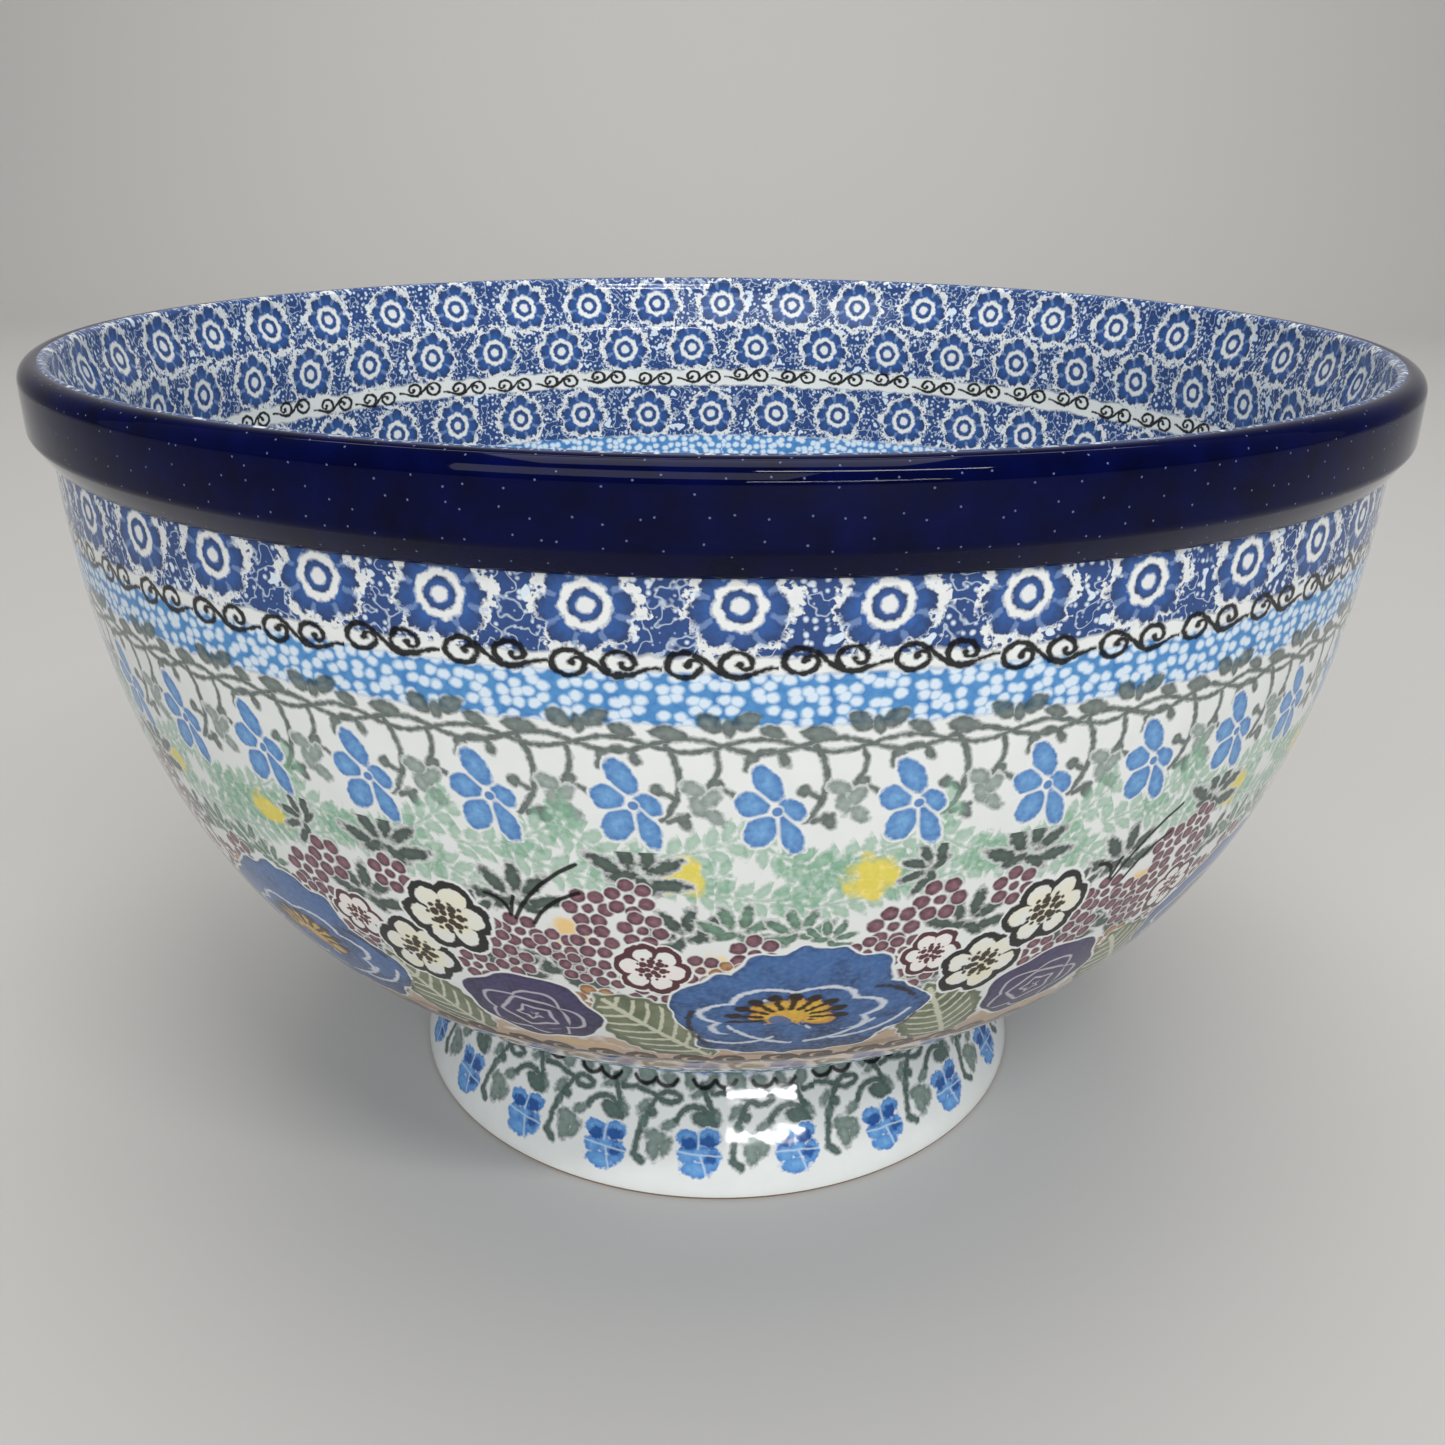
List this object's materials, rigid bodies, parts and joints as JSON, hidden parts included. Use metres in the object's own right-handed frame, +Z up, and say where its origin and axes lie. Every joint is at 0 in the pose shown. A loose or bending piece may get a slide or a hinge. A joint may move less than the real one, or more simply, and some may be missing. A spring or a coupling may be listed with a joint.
{
  "type": "footed punch bowl",
  "caption": "Round footed stoneware punch bowl with a rolled rim, floral banded decoration and a clear glossy glaze, for serving drinks.",
  "frame": {"origin": "on the ground at the middle of the standing ring", "axes": "+Z up along the turning axis; the bowl is round, and +X is only where the turning starts"},
  "size_m": [0.31, 0.31, 0.1926],
  "materials": {
    "decorated_glaze": "glossy clear glaze over hand-stamped underglaze colours",
    "cobalt_glaze": "glossy",
    "foot_glaze": "glossy clear glaze over hand-stamped underglaze colours",
    "fired_slip": "matt"
  },
  "bodies": {
    "root": {"bowl_shell": "decorated_glaze", "rim_collar": "cobalt_glaze", "pedestal_foot": "foot_glaze", "luting_slip_ring": "fired_slip"}
  },
  "joints": []
}
